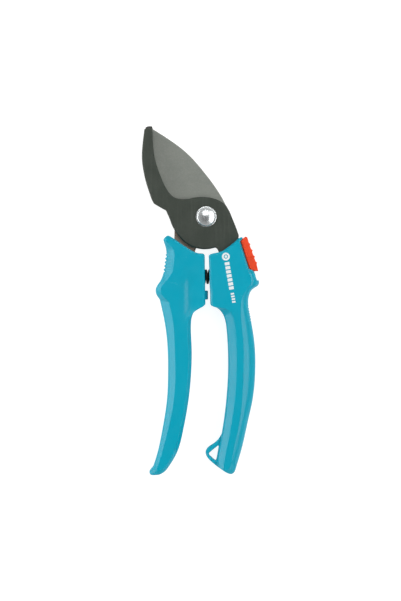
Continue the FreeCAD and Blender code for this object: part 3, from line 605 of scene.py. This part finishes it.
def coated_steel(name):
    """Dark non-stick coating over steel, with faint polishing lines."""
    look = Look(name, DARK_STEEL, 0.42, metallic=0.25, specular=0.45)
    lines = look.noise(240, 4, vector=look.placed(8, (3.0, 0.16, 1)), seed=2)
    look.tint(look.noise(70, 4), (0.062, 0.072, 0.059), 0.6)
    look.tint(lines, (0.09, 0.10, 0.085), 0.35, 0.5, 0.75)
    look.tint(look.noise(1500, 2, seed=4), (0.035, 0.043, 0.036), 0.5, 0.5, 0.7)
    look.gloss(look.noise(300, 3, seed=6), 0.38, 0.52)
    look.bump(look.noise(1900, 3, seed=9), 0.00003, 0.3)
    return look.done()


def ground_steel(name):
    """Bare ground steel: fine lines across the blade, soft mottling, and a painted sheen that makes it
    lighter towards the pivot.
    """
    look = Look(name, BARE_STEEL, 0.45, metallic=0.3, specular=0.5)
    lines = look.noise(420, 4, vector=look.placed(-42, (0.12, 2.4, 1)), seed=1)
    look.tint(look.noise(85, 5, 0.65), (0.19, 0.208, 0.185), 0.8)
    look.tint(lines, (0.30, 0.315, 0.29), 0.22, 0.45, 0.8)
    look.tint(look.noise(1100, 3, seed=5), (0.33, 0.335, 0.31), 0.3, 0.45, 0.75)
    # painted sheen: the blade is painted lighter from 20 mm down to 4 mm above the pivot, in place of the
    # soft reflection across it
    look.tint(look.along_y(20, 4), (0.27, 0.285, 0.255), 0.6, 0, 1)
    look.tint(look.along_y(-0.5, -6.5), (0.26, 0.18, 0.135), 0.9, 0, 1)
    look.tint(look.along_y(50.0, 50.35), (0.055, 0.055, 0.05), 0.95, 0, 1)
    look.gloss(lines, 0.38, 0.5)
    look.bump(lines, 0.00002, 0.12)
    return look.done()


def bright_zinc(name):
    look = Look(name, (0.90, 0.93, 0.93), 0.24, metallic=0.9)
    look.tint(look.noise(300, 3), (0.80, 0.86, 0.88), 0.5)
    look.gloss(look.noise(400, 3, seed=3), 0.22, 0.28)
    return look.done()


def plain_steel(name, base, roughness=0.35):
    look = Look(name, base, roughness, metallic=0.85)
    look.tint(look.noise(600, 4), tuple(0.7 * c for c in base), 0.6)
    look.gloss(look.noise(900, 3, seed=2), roughness - 0.06, roughness + 0.12)
    look.bump(look.noise(1500, 3, seed=3), 0.00003, 0.3)
    return look.done()


def oiled_wire(name):
    look = Look(name, (0.03, 0.03, 0.028), 0.3, metallic=0.5, specular=0.6)
    look.tint(look.noise(700, 3), (0.09, 0.075, 0.06), 0.6)
    look.gloss(look.noise(500, 3, seed=1), 0.24, 0.42)
    look.bump(look.noise(2500, 2, seed=2), 0.00002, 0.3)
    return look.done()


def print_white(name):
    look = Look(name, (0.80, 0.83, 0.83), 0.5)
    look.tint(look.noise(1400, 3), (0.45, 0.68, 0.72), 0.4, 0.5, 0.72)
    look.bump(look.noise(3000, 2, seed=1), 0.00001, 0.3)
    return look.done()


HANDLE_BLUE, HANDLE_DEEP = (0.0, 0.365, 0.505), (0.0, 0.335, 0.47)
LOCK_ORANGE, LOCK_DEEP = (0.90, 0.072, 0.016), (0.84, 0.060, 0.013)
DARK_STEEL = (0.037, 0.047, 0.036)
BARE_STEEL = (0.235, 0.25, 0.222)

handle_look = moulded_plastic("handle_plastic", HANDLE_BLUE, HANDLE_DEEP, 0.22)
lock_look = moulded_plastic("lock_plastic", LOCK_ORANGE, LOCK_DEEP, 0.34)
seat_look = moulded_plastic("seat_plastic", (0.02, 0.05, 0.06), (0.015, 0.035, 0.045), 0.45)
coat_look = coated_steel("coated_steel")
blade_look = ground_steel("ground_steel")
zinc_look = bright_zinc("bright_zinc")
pin_look = plain_steel("pin_steel", (0.42, 0.43, 0.44))
bronze_look = plain_steel("bronze", (0.55, 0.38, 0.20), 0.42)
wire_look = oiled_wire("oiled_wire")
mark_look = print_white("print_white")


# ---------------------------------------------------------------- handles
def left_front(x, y):
    """The front face of the left handle dips to a soft crease and rises again towards the gap."""
    (top, above), (bottom, below), (left, before), (right, beyond) = DIP_FADES
    along = smooth((top - y) / above) * smooth((y - bottom) / below)
    across = smooth((x - left) / before) * smooth((right - x) / beyond)
    return THICK - FACE_DIP * along * across


def gap_pocket(x0, x1):
    """A cutter for the round pocket that the spring sits in."""
    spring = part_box("opening_spring")
    middle_y = ((spring[0].y + spring[1].y) / 2 - PIVOT.y) / MM
    middle_z = (spring[0].z + spring[1].z) / 2 / MM
    verts, faces = lathe([(POCKET_R, x0), (POCKET_R, x1)], 64, (0, middle_y, middle_z), along_x=True)
    return solid("cutter", verts, faces)


def make_left_handle():
    rows = handle_rows(LEFT_OUTLINE, LEFT_FACE, LEFT_RIBS)
    verts, faces = shell(rows, left_front, level(0.0))
    handle = new_object("left_handle_moulding", verts, faces, MOVING, handle_look, ["left_handle"])
    cut(handle, gap_pocket(*LEFT_POCKET))
    handle.data.set_sharp_from_angle(angle=HANDLE_SHARP)


def make_stop():
    """The small stop nub on the left handle's inner edge."""
    (left, right), (near, far), (low, high) = STOP_X, STOP_Y, STOP_Z
    corners = [(left, near), (right, near), (right, far), (left, far)]
    outline = [[a, b] for a, b in zip(corners, corners[1:] + corners[:1])]
    numbers = counts(outline, 0.25)
    edge = rounded(ring(outline, numbers), 4)
    rim = edge + inward(edge) * STOP_BEVEL_W
    land = rim + inward(edge) * 0.3
    rows = [lifted(land, high), lifted(rim, high), lifted(edge, high - STOP_BEVEL_D),
            lifted(edge, low + STOP_BEVEL_D), lifted(rim, low), lifted(land, low)]
    verts, faces = shell(softened(rows, [0, 0.3, 0.3, 0.3, 0.3, 0]), level(high), level(low), 0.8)
    new_object("left_handle_stop_nub", verts, faces, MOVING, handle_look, [])


def slide_line(along, outwards):
    """A point measured down the lock slide's seat and outwards from it, mm about the pivot."""
    down = Vector(JOINTS["lock_slide_travel"]["axis"][:2]).normalized()
    out = Vector((-down.y, down.x))
    return tuple(Vector(SEAT_TOP) + down * along + out * outwards)


def make_right_handle():
    rows = handle_rows(RIGHT_OUTLINE, RIGHT_FACE, RIGHT_RIBS, FACET_CURVES, SEAT_BEVEL)
    verts, faces = shell(rows, level(THICK), level(0.0))
    handle = new_object("right_handle_moulding", verts, faces, FIXED, handle_look, ["right_handle"])
    cut(handle, gap_pocket(*RIGHT_POCKET))
    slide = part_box("lock_slide")
    end = GROOVE_END + JOINTS["lock_slide_travel"]["range_m"][1] / MM + GROOVE_SPARE
    groove = [slide_line(GROOVE_START, -GROOVE_SINK), slide_line(GROOVE_START, GROOVE_REACH),
              slide_line(end, GROOVE_REACH), slide_line(end, -GROOVE_SINK)]
    cut(handle, prism(groove, slide[0].z / MM - GROOVE_CLEAR, slide[1].z / MM + GROOVE_CLEAR))
    handle.data.set_sharp_from_angle(angle=HANDLE_SHARP)


def make_loop():
    """The lanyard loop: a thin plate with a rounded three-sided eye."""
    numbers = counts(LOOP_OUTER, 0.4)
    outer = rounded(ring(LOOP_OUTER, numbers), 2)
    centre = np.mean(EYE, axis=0)
    eye = []
    for k, corner in enumerate(np.array(EYE)):
        before, after = np.array(EYE[k - 1]), np.array(EYE[(k + 1) % len(EYE)])
        a = corner + (before - corner) / np.linalg.norm(before - corner) * 1.5 * EYE_ROUND
        b = corner + (after - corner) / np.linalg.norm(after - corner) * 1.5 * EYE_ROUND
        eye += [(1 - t) ** 2 * a + 2 * t * (1 - t) * corner + t ** 2 * b for t in np.linspace(0, 1, 9)]
    eye = np.array(eye)
    # the eye's edge again, one point for each of the outer ring's, found along rays from its middle
    inner = []
    for p in outer:
        way = (p - centre) / np.linalg.norm(p - centre)
        best = 0.3
        for a, b in zip(eye, np.roll(eye, -1, 0)):
            side = b - a
            det = way[0] * -side[1] + way[1] * side[0]
            if abs(det) < 1e-9:
                continue
            rhs = a - centre
            reach = (rhs[0] * -side[1] + rhs[1] * side[0]) / det
            share = (way[0] * rhs[1] - way[1] * rhs[0]) / det
            if reach > 0 and -1e-6 <= share <= 1 + 1e-6:
                best = max(best, reach)
        inner.append(centre + way * best)
    inner = rounded(np.array(inner), 1)
    low, high = THICK / 2 - LOOP_T / 2, THICK / 2 + LOOP_T / 2
    walls = outer - inner
    width = np.linalg.norm(walls, axis=1, keepdims=True)
    edge = np.minimum(0.55, 0.3 * width) * walls / width
    outer_drop, inner_drop = 0.7, 0.5
    section = [lifted(outer, low + outer_drop), lifted(outer, high - outer_drop), lifted(outer - edge, high),
               lifted(inner + edge, high), lifted(inner, high - inner_drop), lifted(inner, low + inner_drop),
               lifted(inner + edge, low), lifted(outer - edge, low)]
    looped = softened(section[-1:] + section + section[:1], [0.4] * (len(section) + 2), 3)[1:-1]
    verts, faces = tube(looped)
    new_object("right_handle_loop", verts, faces, FIXED, handle_look, [])


# ---------------------------------------------------------------- blades
def blade_mesh(outline, node, top_widths, bottom_widths, bottom_slope):
    """Verts and faces of a flat blade; its bevels are given as widths by curve, and the lower one's slope."""
    numbers = counts(outline, 0.4)
    edge = rounded(ring(outline, numbers), 1)
    low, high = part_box(node)[0].z / MM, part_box(node)[1].z / MM
    into = inward(edge)
    edge = edge - into * SWELL * 0.7
    over, under = spread(numbers, top_widths, EASE), spread(numbers, bottom_widths, EASE)
    over_rim, under_rim = edge + into * over[:, None], edge + into * under[:, None]
    rows = [lifted(over_rim + into * 0.15, high), lifted(over_rim, high),
            lifted(edge, high - over * EASE_SLOPE), lifted(edge, low + under * bottom_slope),
            lifted(under_rim, low), lifted(under_rim + into * 0.15, low)]
    return shell(softened(rows, [0, 0.08, 0.08, 0.05, 0.08, 0], 2), level(high), level(low), 4.0)


def make_counter_blade():
    verts, faces = blade_mesh(COUNTER_BLADE, "counter_blade", COUNTER_EASE, {}, 1.0)
    new_object("counter_blade_steel", verts, faces, FIXED, coat_look, ["counter_blade"], sharp=20)


def make_cutting_blade():
    verts, faces = blade_mesh(CUTTING_BLADE, "cutting_blade", CUTTING_EASE, {CUTTING_EDGE: GRIND_W},
                              GRIND_D / GRIND_W)
    new_object("cutting_blade_steel", verts, faces, MOVING, blade_look, ["cutting_blade"],
               sharp=20)


# ---------------------------------------------------------------- pivot
def make_bolt():
    """A low domed head with a straight rim, and a shank that ends proud of the nut."""
    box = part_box("pivot_bolt")
    head_r = (box[1].x - box[0].x) / 2 / MM
    top, foot = box[1].z / MM, box[0].z / MM
    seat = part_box("counter_blade")[1].z / MM
    # a thin flange, then a dome: a broad crown that turns down quickly at its shoulder
    flange, dome_r, shoulder_r, crown_tilt = 0.7, head_r - 0.5, 1.2, math.radians(24)
    crown_r = (dome_r - shoulder_r) / math.sin(crown_tilt) + shoulder_r
    shoulder_z = top - crown_r * (1 - math.cos(crown_tilt)) - shoulder_r * math.cos(crown_tilt)
    profile = [(0.01, foot), (SHANK_R - 0.5, foot), (SHANK_R, foot + 0.5), (SHANK_R, seat),
               (head_r - 0.1, seat), (head_r, seat + 0.12), (head_r, seat + flange - 0.2),
               (head_r - 0.06, seat + flange - 0.06), (head_r - 0.2, seat + flange),
               (dome_r + 0.04, seat + flange), (dome_r, seat + flange + 0.04)]
    for k in range(9):
        tilt = math.pi / 2 + (crown_tilt - math.pi / 2) * k / 8
        profile.append((dome_r - shoulder_r * (1 - math.sin(tilt)), shoulder_z + shoulder_r * math.cos(tilt)))
    for k in range(1, 12):
        tilt = crown_tilt * (1 - k / 12)
        profile.append((crown_r * math.sin(tilt), top - crown_r * (1 - math.cos(tilt))))
    profile.append((0.01, top))
    verts, faces = lathe(profile)
    new_object("pivot_bolt_zinc", verts, faces, FIXED, zinc_look, ["pivot_bolt"], sharp=40)


def make_nut():
    """A hexagon nut with chamfered corners round the bolt's end."""
    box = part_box("pivot_nut")
    low, high = box[0].z / MM, box[1].z / MM
    flats = (box[1].y - box[0].y) / MM / 2
    hexagon = np.array([flats / math.cos(a % (math.pi / 3) - math.pi / 6) for a in ANGLES])
    flare_r, flare_depth = 4.5, 0.4
    rings = [circle(np.minimum(hexagon, flats + 0.15), low), circle(hexagon, low + 0.55),
             circle(hexagon, high - 0.01), circle(np.minimum(hexagon, flats + 0.9), high),
             circle(BORE_R, high), circle(BORE_R, low + flare_depth), circle(flare_r, low)]
    verts, faces = tube(rings)
    new_object("pivot_nut_zinc", verts, faces, FIXED, zinc_look, ["pivot_nut"], sharp=25)


def make_washer():
    """A washer with its edges eased, more so on the nut's side."""
    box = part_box("pivot_washer")
    low, high, r = box[0].z / MM, box[1].z / MM, (box[1].x - box[0].x) / 2 / MM
    lip_r = 4.2
    profile = [(BORE_R, low + 0.1), (lip_r, low), (r - 0.35, low), (r, low + 0.3), (r, high - 0.12),
               (r - 0.12, high), (lip_r, high), (BORE_R, high - 0.1)]
    verts, faces = tube([circle(radius, z) for radius, z in profile])
    new_object("pivot_washer_zinc", verts, faces, FIXED, zinc_look, ["pivot_washer"], sharp=35)


# ---------------------------------------------------------------- spring
def make_spring():
    """A coil of round wire, its end turns closed, between the two handles."""
    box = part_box("opening_spring")
    x0, x1 = (box[0].x - PIVOT.x) / MM, (box[1].x - PIVOT.x) / MM
    middle_y, middle_z = ((box[0].y + box[1].y) / 2 - PIVOT.y) / MM, (box[0].z + box[1].z) / 2 / MM
    wire = 0.65
    coil = (box[1].y - box[0].y) / 2 / MM - wire
    turns, closed, per_turn, around, start_angle = 8.5, 1.0, 40, 14, 0.6
    count = int(turns * per_turn) + 1
    pitch_closed = 2 * wire * 1.02
    length = x1 - x0 - 2 * wire
    open_pitch = (length - 2 * closed * pitch_closed) / (turns - 2 * closed)
    path = []
    for k in range(count):
        t = k / per_turn
        low_part, high_part = min(t, closed), max(t - (turns - closed), 0.0)
        x = x0 + wire + pitch_closed * (low_part + high_part) + open_pitch * (t - low_part - high_part)
        a = 2 * math.pi * t + start_angle
        path.append(np.array([x, middle_y + coil * math.cos(a), middle_z + coil * math.sin(a)]))
    verts, faces = [], []
    for k, p in enumerate(path):
        ahead = path[min(k + 1, count - 1)] - path[max(k - 1, 0)]
        ahead /= np.linalg.norm(ahead)
        out = p - np.array([p[0], middle_y, middle_z])
        out -= ahead * out.dot(ahead)
        out /= np.linalg.norm(out)
        side = np.cross(ahead, out)
        for j in range(around):
            a = 2 * math.pi * j / around
            verts.append(tuple(p + wire * (out * math.cos(a) + side * math.sin(a))))
    for k in range(count - 1):
        faces += strip_faces(k * around, (k + 1) * around, around)
    faces.append(tuple(range(around - 1, -1, -1)))
    faces.append(tuple(range((count - 1) * around, count * around)))
    spring = new_object("opening_spring_wire", verts, faces, None, wire_look, ["opening_spring"],
                        sharp=60)
    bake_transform(spring)


# ---------------------------------------------------------------- lock
def make_slide():
    """The thumb slide: a chamfered block with barbs on its outer edge and a foot against the seat."""
    barbs = [(SLIDE_TIP[0] + SLIDE_TIP_STEP[0] * k + dx, SLIDE_TIP[1] + SLIDE_TIP_STEP[1] * k + dy)
             for k in range(SLIDE_TIPS) for dx, dy in SLIDE_BARB]
    start, end = (slide_line(along, SLIDE_OFF) for along in SLIDE_ENDS)
    points = [start] + SLIDE_CREST + barbs + SLIDE_FOOT + [end]
    outline = [[a, b] for a, b in zip(points, points[1:] + points[:1])]
    numbers = counts(outline, 0.2)
    edge = rounded(ring(outline, numbers), 1)
    inner = len(outline) - 1
    width = spread(numbers, {inner: 0.7}, 0.32)
    drop = spread(numbers, {inner: 0.3}, 0.35)
    foot = spread(numbers, {0: 0.8, 1: 0.3, inner - 1: 0.5, inner: 0.4}, 0.0)
    foot_from, foot_to = 2.0, 2.3                # the foot starts and is full this far inside its faces, mm
    rim = rounded(edge + inward(edge) * width[:, None], 8)
    land = rounded(rim + inward(rim) * 0.15, 3)
    against = edge - inward(edge) * foot[:, None]
    low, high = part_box("lock_slide")[0].z / MM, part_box("lock_slide")[1].z / MM
    origin, down = Vector(slide_line(0, 0)), Vector(slide_line(1, 0)) - Vector(slide_line(0, 0))

    def rise(x, y):
        """How far the thumb pad stands up at a point."""
        return PAD_RISE * (1 - smooth(((Vector((x, y)) - origin).dot(down) - PAD_END) / PAD_RAMP))

    up = np.array([rise(x, y) for x, y in edge])
    rows = [lifted(land, high + up), lifted(rim, high + up), lifted(edge, high + up - drop),
            lifted(edge, high - foot_from), lifted(against, high - foot_to),
            lifted(against, low + foot_to), lifted(edge, low + foot_from),
            lifted(edge, low - up + drop), lifted(rim, low - up), lifted(land, low - up)]
    radii = [0, 0.3, 0.3, 0.1, 0.1, 0.1, 0.1, 0.3, 0.3, 0]
    verts, faces = shell(softened(rows, radii, 3), lambda x, y: high + rise(x, y),
                         lambda x, y: low - rise(x, y), 0.9)
    new_object("lock_slide_button", verts, faces, LOCK, lock_look, ["lock_slide"])


# ---------------------------------------------------------------- plain mark
MARK_AT, MARK_R, MARK_TILT = (11.3, -22.9), 2.25, 10.0
RING_INNER_R, SPOT_R, RING_SPACE = 1.2, 0.75, 1.0
PRINT_RISE, PRINT_T = 0.03, 0.1
# two rows of blocks, mm: how many, length, gap, half width, and the space after the row
MARK_ROWS = ((7, 1.75, 0.6, 1.35, 2.0), (4, 1.0, 0.55, 0.95, 0.0))


def make_mark():
    """A round spot with a ring round it, and two rows of plain blocks, printed on the right handle."""
    z = THICK + PRINT_RISE
    verts, faces = [], []

    def patch(corners):
        """A thin plate with the given corners."""
        base, count = len(verts), len(corners)
        verts.extend([(x, y, height) for height in (z, z - PRINT_T) for x, y in corners])
        faces.append(tuple(range(base, base + count)))
        faces.append(tuple(range(base + 2 * count - 1, base + count - 1, -1)))
        faces.extend(strip_faces(base, base + count, count))

    def band(inner_r, outer_r):
        """A thin ring."""
        base, count = len(verts), ROUND
        for height in (z, z - PRINT_T):
            for r in (outer_r, inner_r):
                verts.extend([(*p, height) for p in round_outline(MARK_AT, r, count)])
        faces.extend(strip_faces(base, base + count, count))
        faces.extend(strip_faces(base + 2 * count, base + 3 * count, count))
        faces.extend(strip_faces(base, base + 2 * count, count))
        faces.extend(strip_faces(base + count, base + 3 * count, count))

    band(RING_INNER_R, MARK_R)
    patch(round_outline(MARK_AT, SPOT_R, ROUND // 2))
    tilt = math.radians(-90 + MARK_TILT)
    along = np.array([math.cos(tilt), math.sin(tilt)])
    side = np.array([-along[1], along[0]])
    at = np.array(MARK_AT) + along * (MARK_R + RING_SPACE)
    for how_many, length, gap, half, after in MARK_ROWS:
        for _ in range(how_many):
            low, high = at, at + along * length
            patch([tuple(low - side * half), tuple(high - side * half), tuple(high + side * half),
                   tuple(low + side * half)])
            at = high + along * gap
        at = at + along * (after - gap)
    new_object("handle_mark_print", verts, faces, FIXED, mark_look, ["handle_mark"], sharp=30)


# ---------------------------------------------------------------- put it together
make_left_handle()
make_stop()
make_right_handle()
make_loop()
make_counter_blade()
make_cutting_blade()
make_bolt()
make_nut()
make_washer()
make_spring()
make_slide()
make_mark()

CARRIED_OVER = {"pivot_bush": bronze_look, "left_tang_pins": pin_look, "right_tang_pins": pin_look,
                "lock_tongue": pin_look, "lock_rivet": pin_look, "lock_leaf_spring": wire_look,
                "spring_seat_left": seat_look, "spring_seat_right": seat_look}
for node, look in CARRIED_OVER.items():
    piece = frame["nodes"][node]
    piece.data.materials.clear()
    piece.data.materials.append(look)
    for polygon in piece.data.polygons:
        polygon.use_smooth = True
    piece.data.set_sharp_from_angle(angle=math.radians(30))


# ---------------------------------------------------------------- floor, light and camera
def make_floor():
    """White paper, a hair below the tool."""
    size, z = 6.0, -0.0002
    corners = [(-size, -size, z), (size, -size, z), (size, size, z), (-size, size, z)]
    mesh = bpy.data.meshes.new("floor")
    mesh.from_pydata(corners, [], [(0, 1, 2, 3)])
    look = Look("floor_paper", (0.30, 0.30, 0.30), 0.9, specular=0.1)
    look.tint(look.noise(3, 2), (0.29, 0.29, 0.29), 0.5)
    look.shader.inputs["Emission Color"].default_value = (1, 1, 1, 1)
    look.shader.inputs["Emission Strength"].default_value = 0.88
    mesh.materials.append(look.done())
    floor = in_scene("floor", mesh)


def make_light(name, place, aim, size, strength, mirrored=True):
    """A rectangular softbox; strength is the brightness of its face."""
    data = bpy.data.lights.new(name, "AREA")
    data.shape = "RECTANGLE"
    data.size, data.size_y = size
    data.energy = strength * math.pi * size[0] * size[1]
    light = in_scene(name, data)
    light.location = place
    light.rotation_euler = (Vector(aim) - Vector(place)).to_track_quat("-Z", "Y").to_euler()
    light.visible_glossy = mirrored


def make_world():
    """A light tent: bright low down all round, dim overhead."""
    world = bpy.data.worlds.new("tent")
    bpy.context.scene.world = world
    world.use_nodes = True
    nodes, links = world.node_tree.nodes, world.node_tree.links
    place = nodes.new("ShaderNodeTexCoord")
    split = nodes.new("ShaderNodeSeparateXYZ")
    ramp = nodes.new("ShaderNodeValToRGB")
    links.new(place.outputs["Generated"], split.inputs["Vector"])
    links.new(split.outputs["Z"], ramp.inputs["Fac"])
    stops = ramp.color_ramp.elements
    stops[0].position, stops[0].color = 0.0, (0.80, 0.80, 0.80, 1)
    stops[1].position, stops[1].color = 1.0, (0.02, 0.02, 0.02, 1)
    for at, grey in ((0.35, 0.45), (0.80, 0.22), (0.94, 0.05)):
        stops.new(at).color = (grey, grey, grey, 1)
    links.new(ramp.outputs["Color"], nodes["Background"].inputs["Color"])
    nodes["Background"].inputs["Strength"].default_value = 1.0


def make_camera():
    """Straight down, far off, so that the picture is nearly parallel."""
    height, frame_height, subject = 3.0, 0.3444, 0.012
    data = bpy.data.cameras.new("camera")
    data.sensor_width = 36.0
    data.lens = data.sensor_width * (height - subject) / frame_height
    camera = in_scene("camera", data)
    camera.location = (0.0, 0.0, height)
    bpy.context.scene.camera = camera


make_floor()
make_world()
make_light("left_box", (-0.9, 0.12, 0.33), (0, 0, 0), (1.6, 0.30), 3.2)
make_light("right_box", (0.66, 0.0, 0.98), (0, 0, 0), (1.3, 0.5), 2.75)
make_light("top_box", (-0.05, 0.60, 1.36), (0, 0, 0), (0.7, 0.55), 3.0)
make_light("overhead", (0.0, 0.1, 2.6), (0, 0, 0), (2.4, 2.4), 0.95, mirrored=False)
make_camera()
bpy.context.scene.view_settings.view_transform = "Standard"
